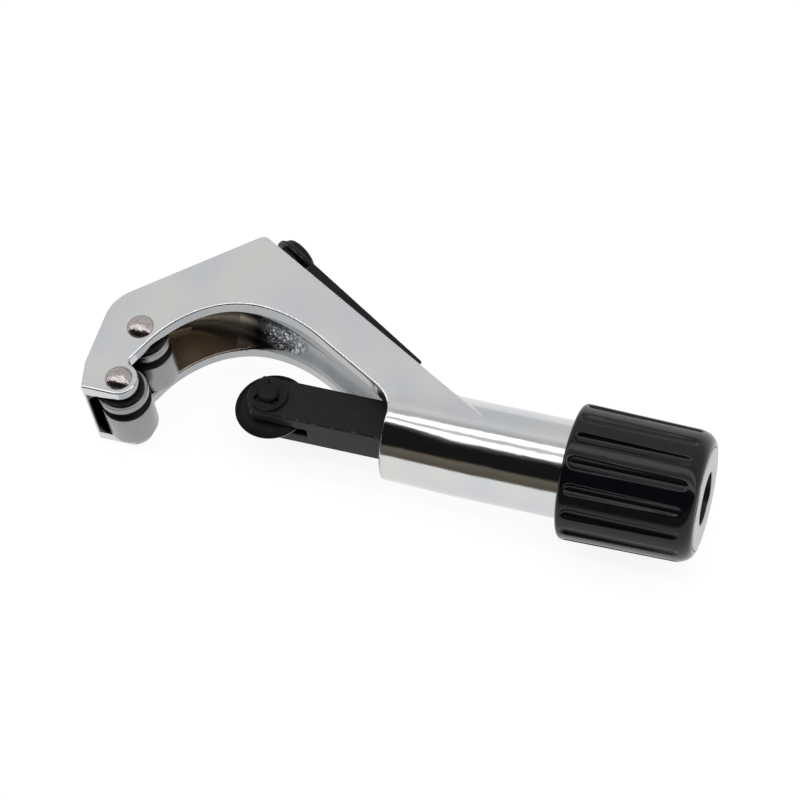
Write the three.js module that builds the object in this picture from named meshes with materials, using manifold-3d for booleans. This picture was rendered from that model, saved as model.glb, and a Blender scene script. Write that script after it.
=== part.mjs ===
// Screw-feed pipe cutter, millimetres, +Z up.
// Tool axes while modelling: +X along the feed screw towards the knob, from the
// barrel's mouth at x = 0; +Y from the feed axis towards the arch; +Z along the
// roller pins, from the middle of the frame's thickness.
// The last lines move the tool so that its origin is at the middle of its underside.
import * as THREE from 'three'
import { mergeVertices } from 'three/addons/utils/BufferGeometryUtils.js'
import Module from 'manifold-3d'

const wasm = await Module()
wasm.setup()

// ---------------------------------------------------------------- dimensions
const GAP = 0.3 // clearance left between touching pieces
const OVERCUT = 2 // how far a cutting tool runs past the face that it opens

const frameHalf = 11.25 // half the frame's thickness
const cheek = 3.2 // wall thickness of each cheek
const pocketHalf = frameHalf - cheek
const headLeft = -71.8
const openEnd = -11.6 // y of the cheeks' end on the open side of the jaw
const backSlope = THREE.MathUtils.degToRad(-29.2) // the arm's back face, from +X
const reamerFoot = new THREE.Vector2(-39.13, 36.83) // where the reamer's pivot leaves the back face

const barrelEnd = 46.5
const barrelMouthR = 10.9
const barrelRearR = 11.3
const guideHalf = 5 + GAP // half the square guide bore
const nutStart = 36.5
const nutR = 7.3

const rollerX = -62.45
const rollerY = 7.24 // each roller's distance from the feed axis
const rollerR = 5.9
const rollerGrooveR = 4.6
const rollerPinR = 2
const lobeR = 4.4 // cheek round the outer roller pin

const slideHalf = 5 // half the slide bar's square section
const slideEnd = 27.2
const wheelX = -29.3
const wheelR = 8.6
const wheelHalf = 1.1
const wheelPinR = 2.45
const slotEnd = -19.2

const screwR = 4.5
const noseR = 3
const noseStart = 17.2
const tailR = 3
const ballR = 1.9
const swivelPinR = 0.9
const swivelPinX = 22.5
const swivelPinZ = 3.2

const knobStart = 42.1
const knobEnd = 72.75
const knobFrontR = 15.5
const knobRearR = 15
const knobFloor = 66 // bottom of the skirt's hollow
const fluteCount = 16
const fluteR = 1.5
const fluteDepth = 0.75
const hubFlangeR = 11.7
const hubHoleR = 6.15

// ------------------------------------------------------------------- helpers
const colours = {
  chrome: { color: 0xc9ccd0, roughness: 0.2, metalness: 1 },
  steel: { color: 0xa9a9aa, roughness: 0.3, metalness: 1 },
  blackOxide: { color: 0x1d1c1d, roughness: 0.5, metalness: 0.6 },
  blackPlastic: { color: 0x0b0b0e, roughness: 0.25, metalness: 0 },
  zinc: { color: 0xc4c6c9, roughness: 0.45, metalness: 1 },
  brass: { color: 0xb08d4a, roughness: 0.35, metalness: 1 },
}

const tool = new THREE.Group()

function addMesh(name, geometry, look, parent = tool) {
  const mesh = new THREE.Mesh(geometry, new THREE.MeshStandardMaterial(colours[look]))
  mesh.name = name
  parent.add(mesh)
  return mesh
}

function solid(geometry) {
  const bare = geometry.index ? geometry.clone() : geometry
  bare.deleteAttribute('normal')
  bare.deleteAttribute('uv')
  const merged = mergeVertices(bare, 1e-4)
  return new wasm.Manifold(
    new wasm.Mesh({
      numProp: 3,
      vertProperties: new Float32Array(merged.attributes.position.array),
      triVerts: new Uint32Array(merged.index.array),
    }),
  )
}

function geometryOf(manifold) {
  const mesh = manifold.getMesh()
  const geometry = new THREE.BufferGeometry()
  geometry.setAttribute('position', new THREE.BufferAttribute(new Float32Array(mesh.vertProperties), 3))
  geometry.setIndex(new THREE.BufferAttribute(new Uint32Array(mesh.triVerts), 1))
  return geometry
}

// A solid of revolution from [along, radius] pairs; its axis is +Z.
function turnedZ(profile, segments = 24) {
  const points = profile.map(([along, radius]) => new THREE.Vector2(radius, along))
  return new THREE.LatheGeometry(points, segments).rotateX(Math.PI / 2)
}

// The same, with its axis along +X.
function turnedX(profile, segments = 24) {
  return turnedZ(profile, segments).rotateY(Math.PI / 2)
}

// The same, with its axis along +Y.
function turnedY(profile, segments = 24) {
  return turnedZ(profile, segments).rotateX(-Math.PI / 2)
}

function block(x0, x1, y0, y1, z0, z1) {
  const box = new THREE.BoxGeometry(x1 - x0, y1 - y0, z1 - z0)
  return box.translate((x0 + x1) / 2, (y0 + y1) / 2, (z0 + z1) / 2)
}

// An outline in X and Y, made solid between two heights.
function plate(shape, low, high, curveSegments = 12) {
  const settings = { depth: high - low, bevelEnabled: false, curveSegments }
  return new THREE.ExtrudeGeometry(shape, settings).translate(0, 0, low)
}

// Straight pin profile with a dome of the given height on its far end.
function domedEnd(start, radius, height, steps = 5) {
  const profile = []
  for (let i = 0; i <= steps; i++) {
    const angle = (i / steps) * (Math.PI / 2)
    profile.push([start + height * Math.sin(angle), i === steps ? 0 : radius * Math.cos(angle)])
  }
  return profile
}

// ----------------------------------------------------------------- the frame
const backDirection = new THREE.Vector2(Math.cos(backSlope), Math.sin(backSlope))

function pointOnBack(distance) {
  return reamerFoot.clone().addScaledVector(backDirection, distance)
}

// Side view of the cheeks and the arm, from the open end's outer corner round the back.
function headOutline() {
  const peak = pointOnBack(-3.7)
  const notchR = 1.2
  const notchOffset = 1.8 // from the pin to the notch's centre, along X
  const notchAngle = Math.acos(notchOffset / (lobeR + notchR))
  const notchX = rollerX + notchOffset
  const notchY = -rollerY + (lobeR + notchR) * Math.sin(notchAngle)
  const shape = new THREE.Shape()
  shape.moveTo(headLeft + 1.5, openEnd)
  shape.lineTo(rollerX, -rollerY - lobeR)
  shape.absarc(rollerX, -rollerY, lobeR, -Math.PI / 2, notchAngle, false)
  shape.absarc(notchX, notchY, notchR, notchAngle + Math.PI, Math.PI * 0.86, true)
  shape.lineTo(-59.5, 3.4)
  shape.bezierCurveTo(-55.6, 12, -47.5, 18.9, -37.7, 18.9)
  shape.bezierCurveTo(-31.5, 18.9, -25.5, 16.9, -19.6, 13.4)
  shape.lineTo(-5.2, 5.35)
  shape.quadraticCurveTo(-0.6, 2.8, 0, -0.8)
  shape.lineTo(27.5, -0.8)
  shape.lineTo(peak.x + 1.2, peak.y - 0.7)
  shape.quadraticCurveTo(peak.x, peak.y, peak.x - 1.2, peak.y - 0.9)
  shape.lineTo(-68.5, 16)
  shape.quadraticCurveTo(headLeft, 12.8, headLeft, 8.6)
  shape.lineTo(headLeft, -5)
  return shape
}

// Side view of the hollow between the cheeks, open towards the jaw.
function pocketOutline() {
  const web = 1.1
  const shape = new THREE.Shape()
  shape.moveTo(headLeft + 1.5 + web, openEnd - OVERCUT)
  shape.lineTo(0, openEnd - OVERCUT)
  shape.lineTo(0, guideHalf)
  shape.lineTo(-5, 7.6)
  shape.lineTo(-24.2, 16.9)
  shape.bezierCurveTo(-31, 20.5, -40, 24.4, -48, 24.4)
  shape.bezierCurveTo(-60, 24.4, -69.3, 17, headLeft + web, 6)
  shape.lineTo(headLeft + web, -5)
  shape.lineTo(headLeft + 1.5 + web, openEnd)
  return shape
}

function frameGeometry() {
  const barrel = turnedX([[0, 0], [0, barrelMouthR], [16, barrelRearR], [barrelEnd, barrelRearR], [barrelEnd, 0]], 48)
  const pinHole = turnedZ(
    [[-frameHalf - OVERCUT, 0], [-frameHalf - OVERCUT, rollerPinR + GAP],
      [frameHalf + OVERCUT, rollerPinR + GAP], [frameHalf + OVERCUT, 0]],
    20,
  )
  const mouthClearance = turnedX([[-14, 0], [-14, 7.2], [4, 7.2], [4, 0]], 24)
  const nutSeat = turnedX(
    [[nutStart - GAP, 0], [nutStart - GAP, nutR + GAP],
      [barrelEnd + OVERCUT, nutR + GAP], [barrelEnd + OVERCUT, 0]],
  )
  const reamerHole = turnedY([[-8, 0], [-8, 2], [OVERCUT, 2], [OVERCUT, 0]], 16)
  reamerHole.rotateZ(backSlope).translate(reamerFoot.x, reamerFoot.y, 0)
  let frame = solid(plate(headOutline(), -frameHalf, frameHalf)).add(solid(barrel))
  frame = frame.subtract(solid(plate(pocketOutline(), -pocketHalf, pocketHalf)))
  frame = frame.subtract(solid(block(-OVERCUT, nutStart, -guideHalf, guideHalf, -guideHalf, guideHalf)))
  frame = frame.subtract(solid(mouthClearance))
  frame = frame.subtract(solid(nutSeat))
  frame = frame.subtract(solid(reamerHole))
  for (const side of [-1, 1]) {
    frame = frame.subtract(solid(pinHole.clone().translate(rollerX, side * rollerY, 0)))
  }
  return geometryOf(frame)
}

// --------------------------------------------------------------- the rollers
function rollerGeometry() {
  const bore = rollerPinR + GAP
  const low = -pocketHalf + GAP
  return turnedZ(
    [[low, bore], [low, rollerR - 0.3], [low + 0.3, rollerR], [1.7, rollerR], [2.3, rollerGrooveR],
      [4.1, rollerGrooveR], [4.7, rollerR], [6.45, rollerR], [6.75, rollerR - 0.3], [6.75, bore], [low, bore]],
    36,
  )
}

function ringProfile(low, high, inner, outer) {
  return [[low, inner], [low, outer], [high, outer], [high, inner], [low, inner]]
}

function rollerPinGeometry() {
  const headLow = frameHalf + GAP
  return turnedZ(
    [[-frameHalf, 0], [-frameHalf, rollerPinR], [headLow, rollerPinR], [headLow, 2.95],
      ...domedEnd(headLow + 0.2, 2.95, 1.3)],
    24,
  )
}

function addRoller(suffix, y) {
  const place = new THREE.Group()
  place.position.set(rollerX, y, 0)
  tool.add(place)
  addMesh(`roller_${suffix}`, rollerGeometry(), 'steel', place)
  addMesh(`roller_washer_${suffix}`, turnedZ(ringProfile(7.05, 7.75, rollerPinR + GAP, 5.2)), 'blackOxide', place)
  addMesh(`roller_pin_${suffix}`, rollerPinGeometry(), 'steel', place)
}

// ------------------------------------------------- the slide bar and its wheel
function slideBarGeometry() {
  const noseShape = new THREE.Shape()
  noseShape.moveTo(slideEnd, -slideHalf)
  noseShape.lineTo(slideEnd, slideHalf)
  noseShape.lineTo(wheelX - 2.97, slideHalf)
  noseShape.lineTo(wheelX - slideHalf, 1.27)
  noseShape.lineTo(wheelX - slideHalf, -1.27)
  noseShape.lineTo(wheelX - 2.97, -slideHalf)
  const chamfer = 0.6
  const settings = {
    depth: 2 * (slideHalf - chamfer), curveSegments: 10, bevelSize: chamfer,
    bevelThickness: chamfer, bevelOffset: -chamfer, bevelSegments: 1,
  }
  const bar = new THREE.ExtrudeGeometry(noseShape, settings).translate(0, 0, -slideHalf + chamfer)
  const slotHalf = wheelHalf + GAP
  const slot = block(wheelX - slideHalf - OVERCUT, slotEnd, -8, 8, -slotHalf, slotHalf)
  const pinHole = turnedZ([[-8, 0], [-8, wheelPinR + GAP], [8, wheelPinR + GAP], [8, 0]], 20)
  const screwBore = turnedX(
    [[noseStart - 2 * ballR - 2 * GAP, 0], [noseStart - 2 * ballR - 2 * GAP, noseR + GAP],
      [slideEnd + OVERCUT, noseR + GAP], [slideEnd + OVERCUT, 0]],
    20,
  )
  let body = solid(bar).subtract(solid(slot)).subtract(solid(screwBore))
  body = body.subtract(solid(pinHole.translate(wheelX, 0, 0)))
  for (const side of [-1, 1]) {
    const hole = turnedY([[-8, 0], [-8, swivelPinR + GAP], [8, swivelPinR + GAP], [8, 0]], 12)
    body = body.subtract(solid(hole.translate(swivelPinX, 0, side * swivelPinZ)))
  }
  return geometryOf(body)
}

function wheelGeometry() {
  const bore = wheelPinR + GAP
  const bevelStart = 7.1
  const edgeHalf = 0.1
  return turnedZ(
    [[-wheelHalf, bore], [-wheelHalf, bevelStart], [-edgeHalf, wheelR], [edgeHalf, wheelR],
      [wheelHalf, bevelStart], [wheelHalf, bore], [-wheelHalf, bore]],
    40,
  )
}

const clipLow = slideHalf + GAP
const clipHigh = clipLow + 0.7
const clipGrooveR = 1.75

function wheelPinGeometry() {
  const headHigh = -slideHalf - GAP
  const headLow = headHigh - 1.2
  return turnedZ(
    [[headLow, 0], [headLow, 3.5], [headLow + 0.4, 3.8], [headHigh, 3.8], [headHigh, wheelPinR],
      [clipLow - 0.2, wheelPinR], [clipLow - 0.2, clipGrooveR], [clipHigh + 0.2, clipGrooveR],
      ...domedEnd(clipHigh + 0.2, wheelPinR, 1.1)],
  )
}

// E-clip: a flat ring with one opening and two relief lobes inside.
function wheelClipGeometry() {
  const outer = 4.65
  const inner = 2.2
  const clip = solid(turnedZ(ringProfile(clipLow, clipHigh, inner, outer)))
  const opening = block(-1.1, 1.1, 0, outer + OVERCUT, clipLow - 1, clipHigh + 1)
  let body = clip.subtract(solid(opening))
  for (const angle of [Math.PI * 1.08, Math.PI * 1.92]) {
    const relief = turnedZ([[clipLow - 1, 0], [clipLow - 1, 0.9], [clipHigh + 1, 0.9], [clipHigh + 1, 0]], 12)
    relief.translate(2.5 * Math.cos(angle), 2.5 * Math.sin(angle), 0)
    body = body.subtract(solid(relief))
  }
  return geometryOf(body)
}

function addSlide() {
  addMesh('slide_bar', slideBarGeometry(), 'blackOxide')
  const wheelPlace = new THREE.Group()
  wheelPlace.position.set(wheelX, 0, 0)
  tool.add(wheelPlace)
  addMesh('cutter_wheel', wheelGeometry(), 'blackOxide', wheelPlace)
  addMesh('wheel_pin', wheelPinGeometry(), 'blackOxide', wheelPlace)
  addMesh('wheel_clip', wheelClipGeometry(), 'blackOxide', wheelPlace)
  for (const [name, side] of [['swivel_pin_upper', 1], ['swivel_pin_lower', -1]]) {
    const pin = turnedY([[-4.7, 0], [-4.7, swivelPinR], [4.7, swivelPinR], [4.7, 0]], 12)
    addMesh(name, pin, 'steel').position.set(swivelPinX, 0, side * swivelPinZ)
  }
}

// ------------------------------------------------------- the feed and the knob
const hubFloor = knobFloor + 2.6 // bottom of the hub's deep hole
const hubSleeveR = 8.6

function feedScrewGeometry() {
  const grooveHalf = swivelPinR + GAP
  const grooveR = 1.9
  const shoulder = slideEnd + GAP
  const tail = knobFloor - GAP
  return turnedX(
    [[noseStart, 0], [noseStart, noseR - 0.4], [noseStart + 0.4, noseR],
      [swivelPinX - grooveHalf, noseR], [swivelPinX - grooveHalf, grooveR],
      [swivelPinX + grooveHalf, grooveR], [swivelPinX + grooveHalf, noseR],
      [shoulder, noseR], [shoulder, screwR - 0.6], [shoulder + 0.6, screwR],
      [tail, screwR], [tail, tailR], [hubFloor, tailR], [hubFloor, 1.9], [hubFloor - 8, 1.9], [hubFloor - 8, 0]],
    28,
  )
}

// Section of the grip from the hub's recess over the rounded rear to the skirt's rim.
function knobProfile() {
  const bore = hubSleeveR + GAP
  const recess = hubFlangeR + GAP
  const recessFloor = knobEnd - 1.6
  const shoulderStart = 68.3
  const profile = [[recessFloor, bore], [recessFloor, recess]]
  const steps = 5
  for (let i = 0; i <= steps; i++) {
    const angle = (Math.PI / 2) * (1 - i / steps)
    const along = shoulderStart + (knobEnd - 0.25 - shoulderStart) * Math.sin(angle)
    profile.push([along, recess + (knobRearR - recess) * Math.cos(angle)])
  }
  const skirtR = 12
  profile.push([knobStart + 1, knobFrontR], [knobStart + 0.3, knobFrontR - 0.3], [knobStart, knobFrontR - 1])
  profile.push([knobStart, skirtR], [knobFloor, skirtR], [knobFloor, bore], [recessFloor, bore])
  return profile.reverse()
}

function knobGripGeometry() {
  let grip = solid(turnedX(knobProfile(), 48))
  const from = knobStart + 2.75
  const to = 68.9
  const flute = turnedX([[from - fluteR, 0], ...domedFlute(from, to, fluteR), [to + fluteR, 0]], 12)
  for (let i = 0; i < fluteCount; i++) {
    const angle = (i + 0.5) * ((2 * Math.PI) / fluteCount)
    const cut = flute.clone()
    cut.translate(0, (knobFrontR + knobRearR) / 2 + fluteR - fluteDepth, 0).rotateX(angle)
    grip = grip.subtract(solid(cut))
  }
  return geometryOf(grip)
}

function domedFlute(from, to, radius) {
  const slant = radius * Math.SQRT1_2
  return [[from - slant, slant], [from, radius], [to, radius], [to + slant, slant]]
}

function knobHubGeometry() {
  const bore = tailR + GAP
  const sleeveStart = knobFloor
  const flangeStart = knobEnd - 1.3
  return turnedX(
    [[sleeveStart, bore], [sleeveStart, hubSleeveR], [flangeStart, hubSleeveR], [flangeStart, hubFlangeR],
      [knobEnd, hubFlangeR], [knobEnd, hubHoleR], [hubFloor, hubHoleR], [hubFloor, bore], [sleeveStart, bore]],
    40,
  )
}

function knobScrewGeometry() {
  const headLow = hubFloor + 1.4
  return turnedX(
    [[hubFloor - 6, 0], [hubFloor - 6, 1.6], [headLow, 1.6], [headLow, 3.8], [headLow + 1, 3.8],
      [headLow + 1.7, 2.6], [headLow + 1.7, 0]],
  )
}

function addFeed() {
  addMesh('feed_screw', feedScrewGeometry(), 'steel')
  const nut = turnedX(ringProfile(nutStart, barrelEnd, screwR + GAP, nutR), 28)
  addMesh('feed_nut', nut, 'brass')
  const ball = new THREE.SphereGeometry(ballR, 16, 10)
  addMesh('thrust_ball', ball, 'steel').position.set(noseStart - GAP - ballR, 0, 0)
  addMesh('knob_grip', knobGripGeometry(), 'blackPlastic')
  addMesh('knob_hub', knobHubGeometry(), 'zinc')
  addMesh('knob_washer', turnedX(ringProfile(hubFloor + GAP, hubFloor + 1.1, 2.2, 5.4)), 'steel')
  addMesh('knob_screw', knobScrewGeometry(), 'blackOxide')
}

// ------------------------------------------------------------------ the reamer
// Modelled in its own group: +X along the arm's back towards the barrel, +Y away
// from the back face, +Z as on the tool.
const reamerLength = 43.5 // from the pivot to the tip
const reamerRootHalf = 5.7 // half the blade's width at its round end
const reamerTipHalf = 0.5
const reamerBase = 1 // height of the flanges' edges over the back face
const reamerTop = 4.7 // height of the blade's outer face over the back face
const reamerSheet = 1.1
const reamerFold = 6.6 // where the flanges start

function reamerOutline() {
  const shape = new THREE.Shape()
  shape.absarc(0, 0, reamerRootHalf, Math.PI / 2, Math.PI * 1.5, false)
  shape.lineTo(reamerLength - 0.6, -reamerTipHalf)
  shape.lineTo(reamerLength, 0)
  shape.lineTo(reamerLength - 0.6, reamerTipHalf)
  return shape
}

// The open space under the blade's web: the pivot's end, and the trough between the flanges.
function reamerHollow() {
  const side = reamerRootHalf + OVERCUT
  const taper = (reamerRootHalf - reamerTipHalf) / reamerLength
  const foldHalf = reamerRootHalf - reamerFold * taper - reamerSheet
  const outline = [[-side, -side], [reamerFold, -side], [reamerFold, -foldHalf], [reamerLength - 7, -0.2]]
  const mirrored = outline.map(([x, y]) => [x, -y]).reverse()
  return new THREE.Shape([...outline, ...mirrored].map(([x, y]) => new THREE.Vector2(x, y)))
}

// Side view of the blade: the flanges grow shallow towards the tip.
function reamerProfile() {
  const end = reamerLength + OVERCUT
  const outline = [
    [-OVERCUT - reamerRootHalf, reamerBase], [12, reamerBase], [end, reamerTop - 1],
    [end, reamerTop + OVERCUT], [-OVERCUT - reamerRootHalf, reamerTop + OVERCUT],
  ]
  return new THREE.Shape(outline.map(([x, y]) => new THREE.Vector2(x, y)))
}

function reamerBladeGeometry() {
  const lying = (shape, low, high) => solid(plate(shape, low, high).rotateX(-Math.PI / 2))
  const hole = turnedY([[0, 0], [0, 2.3], [reamerTop + OVERCUT, 2.3], [reamerTop + OVERCUT, 0]], 20)
  const blade = lying(reamerOutline(), reamerBase, reamerTop)
    .subtract(lying(reamerHollow(), 0, reamerTop - reamerSheet))
    .intersect(solid(plate(reamerProfile(), -reamerRootHalf - 1, reamerRootHalf + 1)))
    .subtract(solid(hole))
  return geometryOf(blade)
}

function addReamer() {
  const place = new THREE.Group()
  place.position.set(reamerFoot.x, reamerFoot.y, 0)
  place.rotation.z = backSlope
  tool.add(place)
  const washerLow = reamerTop + GAP
  const washerHigh = washerLow + 0.5
  const headLow = washerHigh + GAP
  const headR = 4.7
  const shankR = 1.7
  addMesh('reamer_blade', reamerBladeGeometry(), 'blackOxide', place)
  const springWasher = turnedY(ringProfile(GAP, reamerTop - reamerSheet - GAP, 2.2, 4.4))
  addMesh('reamer_spring_washer', springWasher, 'blackOxide', place)
  addMesh('reamer_washer', turnedY(ringProfile(washerLow, washerHigh, 2.2, 5)), 'blackOxide', place)
  const screw = turnedY(
    [[-7, 0], [-7, shankR], [headLow, shankR], [headLow, headR], ...domedEnd(headLow + 0.2, headR, 1.3)],
  )
  addMesh('reamer_screw', screw, 'blackOxide', place)
}

// -------------------------------------------------------------------- assembly
addMesh('frame', frameGeometry(), 'chrome')
addRoller('inner', rollerY)
addRoller('outer', -rollerY)
addSlide()
addFeed()
addReamer()

const originX = (headLeft + knobEnd) / 2
const originY = 14.55
tool.position.set(-originX, -originY, knobFrontR)

export default tool
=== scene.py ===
"""A screw-feed pipe cutter: finer pieces, materials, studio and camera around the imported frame.

Pieces are modelled in millimetres on the tool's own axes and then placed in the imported
frame: +X along the feed screw from the barrel's mouth, +Y towards the arch, +Z along
the roller pins from the middle of the cheeks.
"""
import math

import bmesh
import bpy
import numpy as np
from mathutils import Matrix, Vector


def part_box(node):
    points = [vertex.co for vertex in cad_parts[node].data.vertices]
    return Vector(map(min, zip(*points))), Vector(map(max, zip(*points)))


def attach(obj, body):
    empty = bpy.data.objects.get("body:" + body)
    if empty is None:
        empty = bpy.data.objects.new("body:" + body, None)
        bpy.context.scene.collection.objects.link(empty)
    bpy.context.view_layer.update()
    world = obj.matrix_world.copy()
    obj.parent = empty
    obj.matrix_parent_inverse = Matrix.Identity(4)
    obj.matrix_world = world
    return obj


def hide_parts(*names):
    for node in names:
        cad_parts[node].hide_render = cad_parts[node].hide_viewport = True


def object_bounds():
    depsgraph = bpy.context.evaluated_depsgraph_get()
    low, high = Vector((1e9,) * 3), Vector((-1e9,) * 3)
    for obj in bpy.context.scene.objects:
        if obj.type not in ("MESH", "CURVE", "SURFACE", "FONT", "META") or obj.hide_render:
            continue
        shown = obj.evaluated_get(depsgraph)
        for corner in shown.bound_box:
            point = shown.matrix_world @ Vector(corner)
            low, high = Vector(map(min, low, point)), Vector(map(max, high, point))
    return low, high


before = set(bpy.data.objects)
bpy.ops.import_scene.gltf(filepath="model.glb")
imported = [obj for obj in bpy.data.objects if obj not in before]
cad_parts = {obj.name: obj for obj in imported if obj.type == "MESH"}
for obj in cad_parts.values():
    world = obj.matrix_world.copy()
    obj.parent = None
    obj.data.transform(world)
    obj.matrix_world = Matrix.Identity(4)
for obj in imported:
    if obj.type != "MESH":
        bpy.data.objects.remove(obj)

cad_low, cad_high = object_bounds()

# ---- dimensions, mm
# The casting: half its thickness, the hollow between the cheeks, the head, the arm's back and the barrel.
FRAME_HALF = 11.25
POCKET_HALF = 8.05
HEAD_LEFT = -71.8
OPEN_END = -11.6
OPEN_END_INSET = 1.5
BACK_SLOPE = math.radians(-29.2)
REAMER_FOOT = (-39.13, 36.83)
BARREL_END = 46.5
BARREL_MOUTH_R = 10.9
BARREL_REAR_R = 11.3
GUIDE_HALF = 5.3
NUT_START = 36.5
NUT_R = 7.3

# The rollers and the cheeks' rounded ends about them.
ROLLER_X = -62.45
ROLLER_Y = 7.24
ROLLER_R = 5.9
ROLLER_GROOVE_R = 4.6
PIN_R = 2.0
LOBE_R = 4.4

# The slide bar and the cutting wheel in its fork.
SLIDE_HALF = 5.0
SLIDE_END = 27.2
WHEEL_X = -29.3
WHEEL_R = 8.6
WHEEL_HALF = 1.1
WHEEL_PIN_R = 2.45
SLOT_HALF = 1.4
SLOT_END = -19.2

# The feed screw's thread.
SCREW_R = 4.5
THREAD_LEAD = 2.0

# The knob's grip and hub.
KNOB_START = 42.1
KNOB_END = 72.75
KNOB_FRONT_R = 15.5
KNOB_REAR_R = 15.0
KNOB_FLOOR = 66.0
FLUTE_COUNT = 16
FLUTE_R = 1.5
FLUTE_DEPTH = 0.75
FLUTE_FROM = KNOB_START + 2.75
FLUTE_TO = 68.9
HUB_FLANGE_R = 11.7
HUB_HOLE_R = 6.15
HUB_FLOOR = 68.6

# The reamer on its own axes: along the blade, out from the arm's back, and across.
REAMER_LENGTH = 43.5
REAMER_ROOT_HALF = 5.7
REAMER_TIP_HALF = 0.5
REAMER_BASE = 1.0
REAMER_TOP = 4.7
REAMER_SHEET = 1.1
REAMER_FOLD = 6.6

# A millimetre in metres, and the tool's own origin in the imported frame.
MM = 0.001
grip_low, grip_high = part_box("knob_grip")
slide_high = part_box("slide_bar")[1]
origin = Vector((
    slide_high.x - SLIDE_END * MM,
    (grip_low.y + grip_high.y) / 2,
    (grip_low.z + grip_high.z) / 2,
))


# ---- mesh helpers
def make_piece(
    name, points, faces, look, body, replaces=(), normals=None, values=None, sharp=math.radians(38),
):
    """A mesh from points in millimetres on the tool's axes, riding on a body.

    values are numbers per point that the piece's material reads by name. Where normals are
    given they are kept, and otherwise edges turning more than sharp stay crisp.
    """
    mesh = bpy.data.meshes.new(name)
    placed = np.asarray(points, float) * MM + np.array(origin)
    mesh.from_pydata(placed.tolist(), [], [list(f) for f in faces])
    mesh.update()
    for key, data in (values or {}).items():
        layer = mesh.attributes.new(key, "FLOAT", "POINT")
        layer.data.foreach_set("value", np.asarray(data, np.float32))
    mesh.shade_smooth()
    if normals is None:
        mesh.set_sharp_from_angle(angle=sharp)
    else:
        mesh.normals_split_custom_set_from_vertices(np.asarray(normals, float).tolist())
    piece = bpy.data.objects.new(name, mesh)
    bpy.context.scene.collection.objects.link(piece)
    materials = look if isinstance(look, list) else [look]
    for material in materials:
        mesh.materials.append(material)
    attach(piece, body)
    if replaces:
        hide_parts(*replaces)
    return piece


ON_AXIS = 1e-6
AXES = {"X": (1, 0, 0), "Z": (0, 0, 1)}


def softened(profile, radius, steps=3):
    """A closed outline of (along, radius) pairs with its corners rounded off, save on the axis."""
    result = []
    count = len(profile)
    straight = math.radians(20)
    for i, corner in enumerate(profile):
        before = Vector(profile[i - 1])
        here = Vector(corner)
        after = Vector(profile[(i + 1) % count])
        to_before, to_after = before - here, after - here
        turn = math.pi - to_before.angle(to_after, 0)
        if corner[1] < ON_AXIS or turn < straight:
            result.append(tuple(here))
            continue
        reach = min(radius, to_before.length * 0.45, to_after.length * 0.45)
        start = here + to_before.normalized() * reach
        end = here + to_after.normalized() * reach
        for k in range(steps + 1):
            t = k / steps
            result.append(tuple(start * (1 - t) ** 2 + here * 2 * t * (1 - t) + end * t * t))
    return result


def revolve(profile, axis, centre=(0, 0, 0), segments=96):
    """Points and faces of a closed (along, radius) outline turned about a named or given axis."""
    along = Vector(AXES.get(axis, axis)).normalized()
    side = along.orthogonal().normalized()
    other = along.cross(side)
    points, rings = [], []
    for distance, radius in profile:
        if radius < ON_AXIS:
            rings.append([len(points)])
            points.append(Vector(centre) + along * distance)
            continue
        ring = []
        for k in range(segments):
            angle = 2 * math.pi * k / segments
            ring.append(len(points))
            offset = side * math.cos(angle) + other * math.sin(angle)
            points.append(Vector(centre) + along * distance + offset * radius)
        rings.append(ring)
    faces = []
    for a, b in zip(rings, rings[1:] + rings[:1]):
        if len(a) == 1 and len(b) == 1:
            continue
        for k in range(segments):
            n = (k + 1) % segments
            if len(a) == 1:
                faces.append((a[0], b[n], b[k]))
            elif len(b) == 1:
                faces.append((a[k], a[n], b[0]))
            else:
                faces.append((a[k], a[n], b[n], b[k]))
    return np.array([tuple(p) for p in points]), faces


def turned(name, profile, axis, look, body, centre=(0, 0, 0), replaces=(), edge=0.15, segments=96):
    """A turned piece with softly broken edges."""
    points, faces = revolve(softened(profile, edge), axis, centre, segments)
    piece = make_piece(name, points, faces, look, body, replaces)
    face_outwards(piece)
    return piece


def face_outwards(piece, merge=0.0):
    """Turns all faces outwards, after joining points that lie closer together than merge, in metres."""
    shape = bmesh.new()
    shape.from_mesh(piece.data)
    if merge > 0:
        bmesh.ops.remove_doubles(shape, verts=shape.verts, dist=merge)
    bmesh.ops.recalc_face_normals(shape, faces=shape.faces)
    shape.to_mesh(piece.data)
    shape.free()


def dome(start, radius, height, steps=10):
    """The rounded end of a pin, as (along, radius) pairs from its edge to the axis."""
    profile = []
    for k in range(steps):
        angle = math.pi / 2 * k / steps
        profile.append((start + height * math.sin(angle), radius * math.cos(angle)))
    return profile + [(start + height, 0)]


def cap(start, radius, height, steps=10):
    """A slice off a sphere, as (along, radius) pairs from its rim to the axis."""
    sphere = (radius**2 + height**2) / (2 * height)
    widest = math.asin(radius / sphere)
    profile = []
    for k in range(steps):
        angle = widest * (1 - k / steps)
        profile.append((start + height - sphere * (1 - math.cos(angle)), sphere * math.sin(angle)))
    return profile + [(start + height, 0)]


def paint_faces(piece, index, chosen):
    """Gives a material index to the faces whose centre, in tool millimetres, passes a test."""
    for polygon in piece.data.polygons:
        centre = (polygon.center - origin) / MM
        if chosen(centre):
            polygon.material_index = index


# ---- distance fields
def smooth_union(a, b, blend):
    """Two solids run together over a rounded seam about blend wide."""
    share = np.clip(0.5 + 0.5 * (b - a) / blend, 0, 1)
    return b + (a - b) * share - blend * share * (1 - share)


def smooth_cut(a, b, blend):
    """Solid a without solid b, with the edge between them eased."""
    return -smooth_union(-a, b, blend)


def slab(flat, height, rounding):
    """Joins two distances into a body whose shared edges have that radius."""
    a, b = flat + rounding, height + rounding
    return np.minimum(np.maximum(a, b), 0) + np.hypot(np.maximum(a, 0), np.maximum(b, 0)) - rounding


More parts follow.
